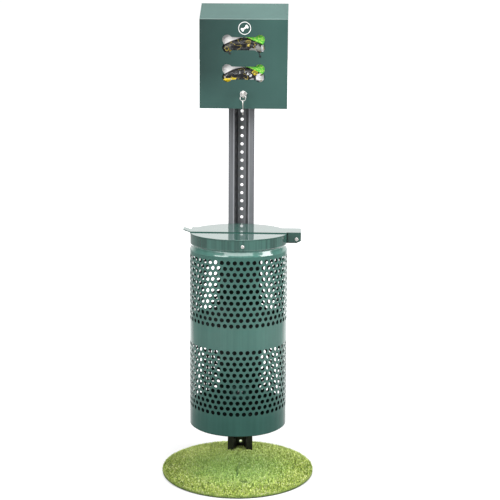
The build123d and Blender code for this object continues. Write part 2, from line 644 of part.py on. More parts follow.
def lock_cam():
    """The flat cam, lying level to the right when the lock is open."""
    hub = rod(CAM_HALF_W, PLUG_REAR, PLUG_REAR + CAM_T, z=LOCK_Z)
    tongue = block(0, CAM_LENGTH, PLUG_REAR, PLUG_REAR + CAM_T, LOCK_Z - CAM_HALF_W, LOCK_Z + CAM_HALF_W)
    cam = hub + tongue - rod(SCREW_R + RUN_GAP, PLUG_REAR - 1, PLUG_REAR + 2 * CAM_T, z=LOCK_Z)
    return Pos(BOX_X, 0, 0) * cam


def cam_screw():
    y0 = PLUG_REAR + CAM_T
    head = rod(SCREW_HEAD_R, y0, y0 + SCREW_HEAD_H, z=LOCK_Z)
    head = fillet(head.edges().group_by(Axis.Y)[-1], 1.0)
    slot_y, half = y0 + SCREW_HEAD_H - SCREW_SLOT, SCREW_SLOT / 2
    slot = block(-SCREW_HEAD_R, SCREW_HEAD_R, slot_y, y0 + 2 * SCREW_HEAD_H, LOCK_Z - half, LOCK_Z + half)
    shank = rod(SCREW_R, y0 + 0.5 - SCREW_DEPTH, y0 + 0.5, z=LOCK_Z)
    return Pos(BOX_X, 0, 0) * (head - slot + shank)


def lock_strike():
    """The angle on the box's floor whose lip the cam drops behind."""
    floor = CASE_LOW + BOX_SHEET
    rear = STRIKE_Y + STRIKE_T
    lip = block(-STRIKE_HALF, STRIKE_HALF, STRIKE_Y, rear, floor, STRIKE_TOP)
    foot = block(-STRIKE_HALF, STRIKE_HALF, rear - STRIKE_FOOT, rear, floor, floor + STRIKE_T)
    return Pos(BOX_X, 0, 0) * (lip + foot)


def key_blank(blade_length):
    """A key in the X=0 plane: bow centred at the origin, blade along +Y, hole towards -Y."""
    bow = Rot(0, 90, 0) * Cylinder(KEY_BOW_R, KEY_T)
    blade = block(-KEY_T / 2, KEY_T / 2, KEY_BOW_R - 3, KEY_BOW_R + blade_length, -KEY_HALF_H, KEY_HALF_H)
    tip = KEY_BOW_R + blade_length
    notch = Rot(45, 0, 0) * Box(3 * KEY_T, NOTCH, NOTCH)
    for k in range(NOTCHES):
        y = tip - NOTCH_PITCH * (k + 1)
        blade = blade - Pos(0, y, KEY_HALF_H + NOTCH_STEP * (k % 2)) * notch
    hole = Pos(0, -KEY_HOLE_OFF, 0) * Rot(0, 90, 0) * Cylinder(KEY_HOLE_R, 4 * KEY_T)
    return bow + blade - hole


def lock_key():
    length = KEY_TIP_Y - KEY_BOW_Y - KEY_BOW_R
    return Pos(BOX_X, KEY_BOW_Y, LOCK_Z) * key_blank(length)


RING_Y = KEY_BOW_Y - KEY_HOLE_OFF
RING_TOP_Z = LOCK_Z - KEY_HOLE_R + RING_WIRE_R + RING_GAP
RING_Z = RING_TOP_Z - RING_R
SPARE_HOLE_Z = RING_Z - RING_R + RING_WIRE_R + RING_GAP - KEY_HOLE_R


def key_ring():
    return Pos(BOX_X, RING_Y, RING_Z) * Rot(90, 0, 0) * Torus(RING_R, RING_WIRE_R)


def spare_key():
    """The second key, hanging from the ring with its blade down."""
    hung = Rot(-90, 0, 0) * key_blank(SPARE_BLADE)
    return Pos(BOX_X, RING_Y, SPARE_HOLE_Z - KEY_HOLE_OFF) * hung


# ================================================================ all nodes
def nodes():
    can_head_y = CAN_R - SHEET - BACKING_GAP - BACKING_T - BACKING_SAG
    case_head_y = FLANGE_Y - BOX_SHEET
    made = {
        "base_plate": base_plate(),
        "turf_mat": turf_mat(),
        "post": post(),
        "can_wall_lower": can_wall(WALL_LOW, WALL_MID, LOWER_ROW_Z, CAN_BOLT_HOLES[0]),
        "can_wall_upper": can_wall(WALL_MID, WALL_TOP, UPPER_ROW_Z, CAN_BOLT_HOLES[1]),
        "can_collar": can_collar(),
        "can_floor": can_floor(),
        "can_saddles": can_saddles(),
        "can_backing_plates": can_backing_plates(),
        "can_bolts": through_bolts(can_head_y, WEB_REAR, CAN_BOLT_HOLES),
        "can_spacers": channel_spacers(CAN_BOLT_HOLES),
        "can_washers": rear_washers(WEB_REAR, CAN_BOLT_HOLES),
        "can_nuts": rear_nuts(WEB_REAR, CAN_BOLT_HOLES),
        "collar_rivet": collar_rivet(),
        "hinge_bracket": hinge_bracket(),
        "hinge_bolt": hinge_bolt(),
        "hinge_washer": hinge_washer(),
        "hinge_nut": hinge_nut(),
        "lid_plate": lid_plate(),
        "lid_strap": lid_strap(),
        "dispenser_case": case(),
        "case_bolts": through_bolts(case_head_y, WEB_REAR, CASE_BOLT_HOLES),
        "case_spacers": channel_spacers(CASE_BOLT_HOLES),
        "case_washers": rear_washers(WEB_REAR, CASE_BOLT_HOLES),
        "case_nuts": rear_nuts(WEB_REAR, CASE_BOLT_HOLES),
        "dispenser_cover": cover(),
        "hinge_leaf_back": hinge_leaf_back(),
        "hinge_leaf_cover": hinge_leaf_cover(),
        "cover_hinge_pin": cover_hinge_pin(),
        "front_emblem": front_emblem(),
        "bag_pins": bag_pins(),
        "lock_strike": lock_strike(),
        "lock_body": lock_body(),
        "lock_nut": lock_nut(),
        "lock_plug": lock_plug(),
        "lock_cam": lock_cam(),
        "cam_screw": cam_screw(),
        "lock_key": lock_key(),
        "key_ring": key_ring(),
        "spare_key": spare_key(),
    }
    for place, z in zip(("upper", "lower"), BONE_Z):
        made[f"header_card_{place}"] = header_card(z)
        made[f"bag_pack_{place}"] = bag_pack(z)
    return made


os.makedirs("parts", exist_ok=True)
for name, shape in nodes().items():
    solids = shape if isinstance(shape, list) else [shape]
    export_step(Compound(children=solids) if len(solids) > 1 else solids[0], f"parts/{name}.step")
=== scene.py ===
import json
import math

import bpy
import numpy as np
from mathutils import Matrix, Vector, noise


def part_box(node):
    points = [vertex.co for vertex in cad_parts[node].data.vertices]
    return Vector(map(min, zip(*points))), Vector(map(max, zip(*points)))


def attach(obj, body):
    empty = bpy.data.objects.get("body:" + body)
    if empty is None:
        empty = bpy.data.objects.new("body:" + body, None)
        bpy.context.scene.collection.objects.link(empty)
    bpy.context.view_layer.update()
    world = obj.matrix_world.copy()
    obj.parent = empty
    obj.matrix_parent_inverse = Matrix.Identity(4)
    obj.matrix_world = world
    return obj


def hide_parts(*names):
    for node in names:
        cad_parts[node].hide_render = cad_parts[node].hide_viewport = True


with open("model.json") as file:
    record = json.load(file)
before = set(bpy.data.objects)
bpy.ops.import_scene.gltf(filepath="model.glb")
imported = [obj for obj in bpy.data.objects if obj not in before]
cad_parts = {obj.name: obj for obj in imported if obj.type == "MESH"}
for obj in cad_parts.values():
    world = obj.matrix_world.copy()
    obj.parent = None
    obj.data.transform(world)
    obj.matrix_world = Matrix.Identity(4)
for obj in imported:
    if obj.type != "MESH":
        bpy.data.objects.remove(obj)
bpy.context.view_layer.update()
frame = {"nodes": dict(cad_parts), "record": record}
NODES = frame["nodes"]
MM = 0.001
rng = np.random.default_rng(7)

# ---------------------------------------------------------------- places read from the frame
turf_low, turf_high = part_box("turf_mat")
post_low, post_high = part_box("post")
cover_low, cover_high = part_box("dispenser_cover")
TURF_R = turf_high.x
BOX_X = ((cover_low + cover_high) / 2).x
FACE_Y = cover_low.y
FACE_SHEET = 1.6 * MM
ROLL_MID_Z = {"upper": 1300.6 * MM, "lower": 1214.6 * MM}  # the middles of the two slots


# ---------------------------------------------------------------- material helpers
class Builder:
    """A node material under construction, with short ways to add and link nodes."""

    def __init__(self, name):
        self.material = bpy.data.materials.new(name)
        self.material.use_nodes = True
        self.tree = self.material.node_tree
        self.shader = self.tree.nodes["Principled BSDF"]
        self.place = self.tree.nodes.new("ShaderNodeTexCoord").outputs["Object"]

    def add(self, kind, **settings):
        made = self.tree.nodes.new(kind)
        for key, value in settings.items():
            setattr(made, key, value)
        return made

    def link(self, source, target):
        self.tree.links.new(source, target)


def scaled_place(m, scale):
    """Object coordinates times one number or three."""
    mapping = m.add("ShaderNodeMapping")
    mapping.inputs["Scale"].default_value = scale if isinstance(scale, tuple) else (scale,) * 3
    m.link(m.place, mapping.inputs["Vector"])
    return mapping.outputs[0]


def noise_out(m, scale, detail=4.0, distort=0.0):
    made = m.add("ShaderNodeTexNoise")
    made.inputs["Scale"].default_value = 1.0
    made.inputs["Detail"].default_value = detail
    made.inputs["Roughness"].default_value = 0.5
    made.inputs["Distortion"].default_value = distort
    m.link(scaled_place(m, scale), made.inputs["Vector"])
    return made.outputs["Fac"]


def mapped(m, value, low, high, from_low=0.3, from_high=0.7):
    """value from one range to another, held at the ends."""
    made = m.add("ShaderNodeMapRange")
    ends = {"From Min": from_low, "From Max": from_high, "To Min": low, "To Max": high}
    for name, number in ends.items():
        made.inputs[name].default_value = number
    m.link(value, made.inputs["Value"])
    return made.outputs["Result"]


def noise_value(m, scale, low, high, **more):
    return mapped(m, noise_out(m, scale, **more), low, high)


def mix(m, share, first, second):
    """A colour between two, each a tuple or a socket."""
    made = m.add("ShaderNodeMix", data_type="RGBA")
    for name, colour in (("A", first), ("B", second)):
        socket = next(s for s in made.inputs if s.name == name and s.type == "RGBA")
        if isinstance(colour, tuple):
            socket.default_value = (*colour, 1)
        else:
            m.link(colour, socket)
    m.link(share, made.inputs["Factor"])
    return next(s for s in made.outputs if s.type == "RGBA")


def maths(m, operation, *values):
    """One Math node on up to three values, each a number or a socket."""
    made = m.add("ShaderNodeMath", operation=operation)
    for socket, value in zip(made.inputs, values):
        if isinstance(value, (int, float)):
            socket.default_value = value
        else:
            m.link(value, socket)
    return made.outputs[0]


def product(m, first, *others):
    """A socket times any number of others, each a number or a socket."""
    for other in others:
        first = maths(m, "MULTIPLY", first, other)
    return first


def distance(m, first, second):
    """How far apart two values are along one axis."""
    return maths(m, "ABSOLUTE", maths(m, "SUBTRACT", first, second))


def bump(m, heights, strength, depth):
    """Bump from one height socket on the shader."""
    made = m.add("ShaderNodeBump")
    made.inputs["Strength"].default_value = strength
    made.inputs["Distance"].default_value = depth
    m.link(heights, made.inputs["Height"])
    m.link(made.outputs[0], m.shader.inputs["Normal"])


def axis_value(m, axis):
    split = m.add("ShaderNodeSeparateXYZ")
    m.link(m.place, split.inputs[0])
    return split.outputs[axis]


def radius_value(m):
    """Distance from the can's axis, which is also the turf's middle."""
    flat = m.add("ShaderNodeVectorMath", operation="MULTIPLY")
    m.link(m.place, flat.inputs[0])
    flat.inputs[1].default_value = (1, 1, 0)
    length = m.add("ShaderNodeVectorMath", operation="LENGTH")
    m.link(flat.outputs[0], length.inputs[0])
    return length.outputs["Value"]


def scaled(colour, factor):
    return tuple(c * factor for c in colour)


# ---------------------------------------------------------------- camera, floor and light
CAMERA_AT = Vector((0.1755, -3.5045, 1.3539))
CAMERA_YAW, CAMERA_PITCH, CAMERA_ROLL = -0.0403, 0.1860, 0.0062
CAMERA_LENS = 85.96
SENSOR_WIDTH = 36
CAMERA_REACH = 50

# name, place, point it faces, width, height, watts
LIGHTS = (
    ("box_left", (-2.0, -2.45, 1.8), (0, 0, 0.7), 1.9, 2.0, 76),
    ("box_right", (2.95, -0.9, 1.8), (0, 0, 0.7), 1.9, 2.0, 112),
    ("front_top", (0.1, -2.3, 3.1), (0, 0, 0.5), 3.6, 1.0, 40),
    ("top", (0.2, -0.5, 3.3), (0, 0, 0.0), 2.2, 1.8, 62),
)
# the sky's brightness along one axis of its direction: from, to, and the brightness at each
SKY_BEHIND = (0.42, 0.78, 0.16, 1.04)
SKY_ABOVE = (0.35, 0.90, 0.0, 0.95)

FLOOR_SIZE = 90
FLOOR_NEAR, FLOOR_FAR = (0.42, 0.42, 0.42), (0.60, 0.60, 0.60)
LIT_FROM_Y = -0.26  # the lit part of the floor lies behind this line ...
LIT_HALF_X, LIT_SPREAD = 0.72, 0.30  # ... and between two sides that part towards the back
LIT_EDGE = 0.60  # width of the soft edge round it
GLOW_LOW, GLOW_HIGH = 0.22, 0.95
GLOW_FROM_Y, GLOW_TO_Y = 0.3, 2.2


def make_camera():
    """A long lens at standing height, turned a little and looking down a little."""
    sin_y, cos_y = math.sin(CAMERA_YAW), math.cos(CAMERA_YAW)
    level_right = Vector((cos_y, -sin_y, 0))
    level_ahead = Vector((sin_y, cos_y, 0))
    ahead = level_ahead * math.cos(CAMERA_PITCH) - Vector((0, 0, math.sin(CAMERA_PITCH)))
    tilted_up = level_ahead * math.sin(CAMERA_PITCH) + Vector((0, 0, math.cos(CAMERA_PITCH)))
    right = level_right * math.cos(CAMERA_ROLL) + tilted_up * math.sin(CAMERA_ROLL)
    up = tilted_up * math.cos(CAMERA_ROLL) - level_right * math.sin(CAMERA_ROLL)
    data = bpy.data.cameras.new("camera")
    data.lens = CAMERA_LENS
    data.sensor_width = SENSOR_WIDTH
    data.clip_end = CAMERA_REACH
    cam = bpy.data.objects.new("camera", data)
    turn = Matrix((right, up, -ahead)).transposed().to_4x4()
    cam.matrix_world = Matrix.Translation(CAMERA_AT) @ turn
    bpy.context.scene.collection.objects.link(cam)
    bpy.context.scene.camera = cam


def area_light(name, at, aim, width, height, power):
    data = bpy.data.lights.new(name, "AREA")
    data.shape = "RECTANGLE"
    data.size, data.size_y = width, height
    data.energy = power
    lamp = bpy.data.objects.new(name, data)
    lamp.location = at
    lamp.rotation_mode = "QUATERNION"
    lamp.rotation_quaternion = (Vector(aim) - Vector(at)).to_track_quat("-Z", "Y")
    bpy.context.scene.collection.objects.link(lamp)


def sky_ramp(tree, value, low, high, dark, bright):
    """A smooth rise from dark to bright as value goes from low to high."""
    made = tree.nodes.new("ShaderNodeMapRange")
    made.interpolation_type = "SMOOTHSTEP"
    ends = {"From Min": low, "From Max": high, "To Min": dark, "To Max": bright}
    for name, number in ends.items():
        made.inputs[name].default_value = number
    tree.links.new(value, made.inputs["Value"])
    return made.outputs["Result"]


def make_lights():
    """A studio: two soft boxes at the sides, two above, and a sky that is white behind and above."""
    for light in LIGHTS:
        area_light(*light)
    world = bpy.data.worlds.new("studio")
    bpy.context.scene.world = world
    world.use_nodes = True
    tree = world.node_tree
    coord = tree.nodes.new("ShaderNodeTexCoord")
    split = tree.nodes.new("ShaderNodeSeparateXYZ")
    tree.links.new(coord.outputs["Generated"], split.inputs[0])
    most = tree.nodes.new("ShaderNodeMath")
    most.operation = "MAXIMUM"
    tree.links.new(sky_ramp(tree, split.outputs["Y"], *SKY_BEHIND), most.inputs[0])
    tree.links.new(sky_ramp(tree, split.outputs["Z"], *SKY_ABOVE), most.inputs[1])
    sky = tree.nodes["Background"]
    sky.inputs["Color"].default_value = (1.0, 1.0, 1.0, 1)
    tree.links.new(most.outputs[0], sky.inputs["Strength"])
    bpy.context.scene.view_settings.view_transform = "Standard"


def make_floor():
    """A wide pale floor that glows faintly behind the object, as a lit sweep does."""
    bpy.ops.mesh.primitive_plane_add(size=FLOOR_SIZE, location=(0, 0, 0))
    floor = bpy.context.object
    floor.name = "floor"
    m = Builder("floor_paint")
    back, side = axis_value(m, "Y"), maths(m, "ABSOLUTE", axis_value(m, "X"))
    inward = maths(m, "SUBTRACT", maths(m, "MULTIPLY_ADD", back, LIT_SPREAD, LIT_HALF_X), side)
    behind = maths(m, "ADD", back, -LIT_FROM_Y)
    lit = mapped(m, maths(m, "MINIMUM", behind, inward), 0.0, 1.0, -LIT_EDGE, 0.0)
    m.link(mix(m, lit, FLOOR_NEAR, FLOOR_FAR), m.shader.inputs["Base Color"])
    m.shader.inputs["Emission Color"].default_value = (1, 1, 1, 1)
    glow = mapped(m, back, GLOW_LOW, GLOW_HIGH, GLOW_FROM_Y, GLOW_TO_Y)
    m.link(product(m, lit, glow), m.shader.inputs["Emission Strength"])
    m.link(noise_value(m, 3.0, 0.75, 0.9), m.shader.inputs["Roughness"])
    m.shader.inputs["Specular IOR Level"].default_value = 0.2
    floor.data.materials.append(m.material)


# ---------------------------------------------------------------- materials
GREEN_DEEP = (0.041, 0.112, 0.093)
GREEN_LIGHT = (0.049, 0.132, 0.109)
GREEN_FLECK = (0.058, 0.165, 0.130)
# painted shade on the can's inner face
INSIDE_SHADE_GREEN = (0.006, 0.013, 0.011)
SHADE = 0.2  # the deepest tone of a paint, as a share of its deep green
CAN_SHEET_MID_R = 145.6 * MM  # between the inner and the outer face of the can's sheet
COLLAR_SHADE_Z = 715 * MM  # painted shade on the collar above this height
SHADE_EDGE = 2 * MM
DRIFT, FLECKS, SATIN = 9.0, 1500.0, 22.0  # noise scales of the paint's drift, flecks and gloss
PEEL_FINE, PEEL_SLOW = 420.0, 60.0  # noise scales of its orange peel
REFLECTION_STREAKS = (75.0, 75.0, 0.8)  # noise scale of its upright streaks, darker stripes painted in as reflections
FOOT_SPAN = (0.20, 0.44)  # heights over which the painted shade and duller coat at the can's foot fade into the rest
CORNER_X = (BOX_X - 0.13, BOX_X + 0.09)  # the shade on the box's upper left fades out to the right ...
CORNER_Z = (1.13, 1.22)  # ... and grows with height

POST_GREY = (0.118, 0.121, 0.130)
BASE_BLACK = (0.010, 0.010, 0.010)
CHIP_GREY = (0.20, 0.20, 0.21)
# painted light and shade on the post: a highlight on its bends, a lighter web, shade on its inner walls and
# at its foot
BEND_HIGHLIGHT_GREY = (0.27, 0.275, 0.29)
WEB_LIGHT_GREY, WEB_SHARE = (0.26, 0.265, 0.28), 0.75
WALL_SHADE_BLACK, WALL_SHARE = (0.004, 0.004, 0.005), 0.8
FOOT_SHADE_BLACK = (0.006, 0.006, 0.006)
MILL_STREAKS, CHIPS, GRAIN = (260.0, 260.0, 2.2), 330.0, 700.0  # noise scales
POST_BEND_X = 23.5 * MM  # the bend between the post's flange and its side
POST_FOOT = (0.16, 0.30)  # heights over which the painted shade at the foot fades into the rest

CLOUDS, SCRATCHES = 160.0, (2400.0, 300.0, 2400.0)  # noise scales of plated metal
ZINC_GREY = (0.62, 0.63, 0.65)
NICKEL_PALE = (0.76, 0.75, 0.73)
NICKEL_WARM = (0.66, 0.64, 0.60)
VINYL_DULL, VINYL_CLEAN = (0.72, 0.74, 0.73), (0.86, 0.87, 0.86)


def upright_share(m):
    """1 on upright faces and 0 on level ones."""
    normal = m.add("ShaderNodeSeparateXYZ")
    m.link(m.add("ShaderNodeNewGeometry").outputs["Normal"], normal.inputs[0])
    return mapped(m, maths(m, "ABSOLUTE", normal.outputs["Z"]), 1.0, 0.0, 0.0, 1.0)


def powder_coat(name, tone=1.0, tint=(1.0, 1.0, 1.0), gloss=0.22, coat=0.4, peel_depth=0.06, shade_above=0.0,
                streak=0.0, upright_shade_tone=1.0, shade_left=0.0, dull_shaded_foot=0.0, inside_r=0.0):
    """Glossy powder coat with slight orange peel and slow colour drift. If asked, painted light and shade:
    painted shade above a height, upright streaks painted in as reflections, painted shade on upright faces
    and on the box's upper left, painted shade and a duller coat at the can's foot, and painted shade inside
    a radius."""
    m = Builder(name)
    greens = (GREEN_DEEP, GREEN_LIGHT, GREEN_FLECK)
    deep, light, fleck = (tuple(c * tone * t for c, t in zip(green, tint)) for green in greens)
    darkest = scaled(deep, SHADE)
    colour = mix(m, noise_value(m, DRIFT, 0.0, 1.0, detail=3.0), deep, light)
    colour = mix(m, mapped(m, noise_out(m, FLECKS, detail=1.0), 0.0, 0.35, 0.55, 0.75), colour, fleck)
    shades = []
    above = foot = None
    # painted shade on the collar above a height
    if shade_above:
        above = mapped(m, axis_value(m, "Z"), 0.0, 0.40, shade_above - SHADE_EDGE, shade_above + SHADE_EDGE)
        shades.append(above)
    # upright streaks: darker stripes painted in as reflections on the round sheet
    if streak:
        lines = mapped(m, noise_out(m, REFLECTION_STREAKS, detail=2.0), 0.0, streak, 0.40, 0.62)
        shades.append(product(m, lines, mapped(m, above, 0.25, 1.0, 0.0, 0.4)) if above else lines)
    # painted shade on upright faces, against lighter level faces
    if upright_shade_tone < 1.0:
        shades.append(product(m, upright_share(m), 1.0 - upright_shade_tone))
    # painted shade on the box's upper left
    if shade_left:
        left = mapped(m, axis_value(m, "X"), shade_left, 0.0, *CORNER_X)
        high = mapped(m, axis_value(m, "Z"), 0.15, 1.0, *CORNER_Z)
        shades.append(product(m, left, high, upright_share(m)))
    # painted shade at the can's foot, with a duller coat there
    if dull_shaded_foot:
        foot = mapped(m, axis_value(m, "Z"), 1.0, 0.0, *FOOT_SPAN)
        shades.append(product(m, foot, dull_shaded_foot))
        m.link(mapped(m, foot, coat, 0.0, 0.0, 1.0), m.shader.inputs["Coat Weight"])
    for share in shades:
        colour = mix(m, share, colour, darkest)
    # painted shade on the face inside a radius: the can's inside
    if inside_r:
        inner = mapped(m, radius_value(m), 1.0, 0.0, inside_r - 0.1 * MM, inside_r + 0.1 * MM)
        colour = mix(m, inner, colour, INSIDE_SHADE_GREEN)
        dull = maths(m, "MAXIMUM", inner, foot) if foot else inner
        m.link(mapped(m, dull, 0.5, 0.10, 0.0, 1.0), m.shader.inputs["Specular IOR Level"])
    m.link(colour, m.shader.inputs["Base Color"])
    m.link(noise_value(m, SATIN, gloss - 0.03, gloss + 0.05, detail=5.0), m.shader.inputs["Roughness"])
    m.shader.inputs["Coat Weight"].default_value = coat
    m.shader.inputs["Coat Roughness"].default_value = 0.06
    fine, slow = noise_out(m, PEEL_FINE, detail=2.0), noise_out(m, PEEL_SLOW, detail=1.0)
    bump(m, maths(m, "ADD", fine, product(m, slow, 0.3)), peel_depth, 0.4 * MM)
    return m.material


def post_light_and_shade(m, colour):
    """Painted light and shade on the post: a painted highlight on each bend, the web painted lighter,
    painted shade on the inner walls and at the foot.
    """
    off_bend = distance(m, maths(m, "ABSOLUTE", axis_value(m, "X")), POST_BEND_X)
    # painted highlight along each bend of the flange
    bend_highlight = mapped(m, off_bend, 1.0, 0.0, 0.6 * MM, 2.0 * MM)
    front = mapped(m, axis_value(m, "Y"), 1.0, 0.0, post_low.y + 1 * MM, post_low.y + 3 * MM)
    colour = mix(m, product(m, bend_highlight, front), colour, BEND_HIGHLIGHT_GREY)
    # the web painted lighter: painted light in the channel
    web = mapped(m, axis_value(m, "Y"), 0.0, 1.0, post_high.y - 6 * MM, post_high.y - 5 * MM)
    colour = mix(m, product(m, web, WEB_SHARE), colour, WEB_LIGHT_GREY)
    # painted shade on the inner walls
    wall = maths(m, "SUBTRACT", maths(m, "SUBTRACT", 1.0, web), front)
    colour = mix(m, product(m, wall, WALL_SHARE), colour, WALL_SHADE_BLACK)
    # painted shade at the foot, under the can
    return mix(m, mapped(m, axis_value(m, "Z"), 1.0, 0.0, *POST_FOOT), colour, FOOT_SHADE_BLACK)


def dark_paint(name, base, rough, light_and_shade=None):
    """Steel under a dark semi-gloss paint, with mill streaks along Z, small chips and any painted light and
    shade that is passed in.
    """
    m = Builder(name)
    streak = noise_out(m, MILL_STREAKS, detail=4.0)
    chips = mapped(m, noise_out(m, CHIPS, detail=2.0), 0.0, 0.8, 0.70, 0.74)
    colour = mix(m, mapped(m, streak, 0.0, 1.0), scaled(base, 0.75), scaled(base, 1.4))
    colour = mix(m, chips, colour, CHIP_GREY)
    m.link(light_and_shade(m, colour) if light_and_shade else colour, m.shader.inputs["Base Color"])
    m.link(mapped(m, streak, rough - 0.08, rough + 0.1), m.shader.inputs["Roughness"])
    m.shader.inputs["Coat Weight"].default_value = 0.25
    m.shader.inputs["Coat Roughness"].default_value = 0.22
    bump(m, maths(m, "ADD", streak, noise_out(m, GRAIN, detail=2.0)), 0.22, 0.5 * MM)
    return m.material


def bare_metal(name, base, rough, metal=1.0):
    """Plated metal: cloudy tint, fine scratches."""
    m = Builder(name)
    scratch = noise_out(m, SCRATCHES, detail=3.0)
    colour = mix(m, noise_value(m, CLOUDS, 0.0, 1.0, detail=5.0), scaled(base, 0.82), base)
    m.link(colour, m.shader.inputs["Base Color"])
    m.shader.inputs["Metallic"].default_value = metal
    m.link(mapped(m, scratch, rough, rough + 0.12), m.shader.inputs["Roughness"])
    bump(m, scratch, 0.10, 0.2 * MM)
    return m.material


def white_vinyl(name):
    """Cut white film, a little cloudy."""
    m = Builder(name)
    m.link(mix(m, noise_value(m, 300.0, 0.0, 1.0), VINYL_DULL, VINYL_CLEAN), m.shader.inputs["Base Color"])
    m.link(noise_value(m, 500.0, 0.28, 0.42), m.shader.inputs["Roughness"])
    bump(m, noise_out(m, 900.0), 0.06, 0.2 * MM)
    return m.material


make_camera()
make_lights()
make_floor()

PAINT = powder_coat("green_powder_coat", tone=0.79, tint=(1.12, 1.00, 1.06), upright_shade_tone=0.80, shade_left=0.68)
BRACKET_PAINT = powder_coat("green_bracket_coat", tone=0.36, coat=0.2)
LID_PAINT = powder_coat("green_lid_coat", gloss=0.09, coat=0.75, peel_depth=0.02, upright_shade_tone=0.45)
CAN_PAINT = powder_coat(
    "green_can_coat", tone=0.84, tint=(0.94, 1.06, 1.05), gloss=0.15, coat=0.32, streak=0.12, dull_shaded_foot=0.45,
    inside_r=CAN_SHEET_MID_R
)
# the collar's paint is a lighter copy of the can's green: a painted highlight on its shoulder, with painted
# shade above a height
COLLAR_PAINT = powder_coat(
    "green_collar_coat", tone=1.30, gloss=0.13, coat=1.0, peel_depth=0.03, shade_above=COLLAR_SHADE_Z,
    streak=0.60
)
BRIGHT = bare_metal("polished_nickel", NICKEL_PALE, 0.20, metal=0.75)

SLOT_LOOKS = {
    "green_paint": PAINT,
    "post_paint": dark_paint("post_paint", POST_GREY, 0.36, light_and_shade=post_light_and_shade),
    "base_paint": dark_paint("base_paint", BASE_BLACK, 0.5),
    "zinc": bare_metal("zinc_plate", ZINC_GREY, 0.26),
    "lock_chrome": BRIGHT,
    "key_nickel": bare_metal("key_nickel", NICKEL_WARM, 0.28, metal=0.7),
    "white_vinyl": white_vinyl("white_vinyl"),
}
NODE_LOOKS = {
    "lid_plate": LID_PAINT, "lid_strap": LID_PAINT, "can_collar": COLLAR_PAINT, "can_wall_upper": CAN_PAINT,
    "can_wall_lower": CAN_PAINT, "can_floor": CAN_PAINT, "collar_rivet": BRIGHT, "hinge_bolt": BRIGHT,
    "hinge_bracket": BRACKET_PAINT,
}


def dress_cad_nodes():
    """Each CAD node that shows gets a node material of its own or its slot's."""
    slot_of = {s["node"]: s["material_slot"] for s in frame["record"]["subparts"]}
    for name, piece in NODES.items():
        look = NODE_LOOKS.get(name) or SLOT_LOOKS.get(slot_of[name])
        if look is None:
            continue
        if not piece.data.materials:
            piece.data.materials.append(look)
        for i in range(len(piece.data.materials)):
            piece.data.materials[i] = look


dress_cad_nodes()


# ---------------------------------------------------------------- mesh helper
def mesh_piece(name, verts, faces, material, smooth=True):
    data = bpy.data.meshes.new(name)
    data.from_pydata([tuple(v) for v in verts], [], [tuple(f) for f in faces])
    data.validate()
    data.update()
    if smooth:
        data.polygons.foreach_set("use_smooth", [True] * len(data.polygons))
    piece = bpy.data.objects.new(name, data)
    bpy.context.scene.collection.objects.link(piece)
    piece.data.materials.append(material)
    return piece


# ---------------------------------------------------------------- turf
BACKING_T = 3.0 * MM
BLADES = 40000
FRINGE = 5000
SEAM_X, SEAM_Y0, SEAM_Y1 = 2.0 * MM, -82 * MM, 46 * MM
SEAM_WAVE, SEAM_WAVE_RATE = 3 * MM, 60  # how far the seam wanders, and its wave in radians per metre
SEAM_BARE = 1.1 * MM  # no fibre stands nearer to the seam
SEAM_PILE, SEAM_SLOPE = 0.25, 4 * MM  # share of the pile's height at the seam, and the run of its rise
DIMPLE = Vector((26 * MM, -127 * MM))
DIMPLE_R, DIMPLE_BARE_R = 9 * MM, 3 * MM
DIMPLE_PILE = 0.2  # share of the pile's height in the dimple's middle

# what is drawn for each fibre: the least and the most that is added
BLADE_HEIGHT = (0.70, 0.40)  # of the pile's height
BLADE_LEAN = (0.25, 0.55)  # of the fibre's height
BLADE_HALF = (0.55, 0.50)  # mm, half the fibre's width
FRINGE_INSET = (0.6, 2.0)  # mm from the rim
FRINGE_RISE = (0.2, 0.7)  # of the pile's height
FRINGE_REACH = (1.2, 2.0)  # mm outwards
FRINGE_TIP = (0.2, 0.5)  # of the fibre's rise
FRINGE_HALF = (0.5, 0.3)  # mm
FRINGE_HANG, FRONT_HANG = 2.0, 3.0  # mm that the tips hang, and how much lower they hang in front
BLADE_SINK, RIM_MARGIN = 0.3 * MM, 1 * MM  # roots below the backing's top, and clear of the rim
BEND_AT = 0.72  # share of a fibre's height at which its tip bends over
BLADE_TWIST, FRINGE_TURN, FRINGE_TWIST = 0.5, 0.4, 0.3  # spreads in radians

SLOT_MARGIN = 1.2 * MM  # room left round the post
POST_WALL = 4.0 * MM + SLOT_MARGIN
POST_FRONT_HALF = 21.5  # mm, half the channel's inner width at its front
POST_TAPER = 10.5  # mm, how much that narrows towards the web

BLADE_STOPS = (
    (0.0, (0.110, 0.200, 0.022)), (0.35, (0.400, 0.560, 0.078)), (0.7, (0.670, 0.790, 0.140)),
    (0.92, (0.900, 0.940, 0.300)), (1.0, (0.960, 0.970, 0.560)),
)
ROOT_GREEN = (0.170, 0.260, 0.034)
# painted shade at the left, in the seam and in the dimple; painted light in the middle and at the back
LEFT_SHADE_GREEN = (0.090, 0.130, 0.020)
SEAM_SHADE_GREEN = (0.02, 0.04, 0.01)
DIMPLE_SHADE_GREEN = (0.03, 0.05, 0.012)
MIDDLE_LIGHT_GREEN = (0.500, 0.900, 0.280)
BACK_LIGHT_GREEN = (0.860, 1.000, 0.340)
LEFT_SPAN, BACK_SPAN = (-0.20, 0.0), (0.02, 0.14)  # in X and in Y
MIDDLE_SPAN = (0.08, 0.19)  # in radius
TUFTS, PATCHES = 210.0, 26.0  # noise scales
BACKING_DARK, BACKING_LIGHT = (0.020, 0.040, 0.010), (0.060, 0.100, 0.024)


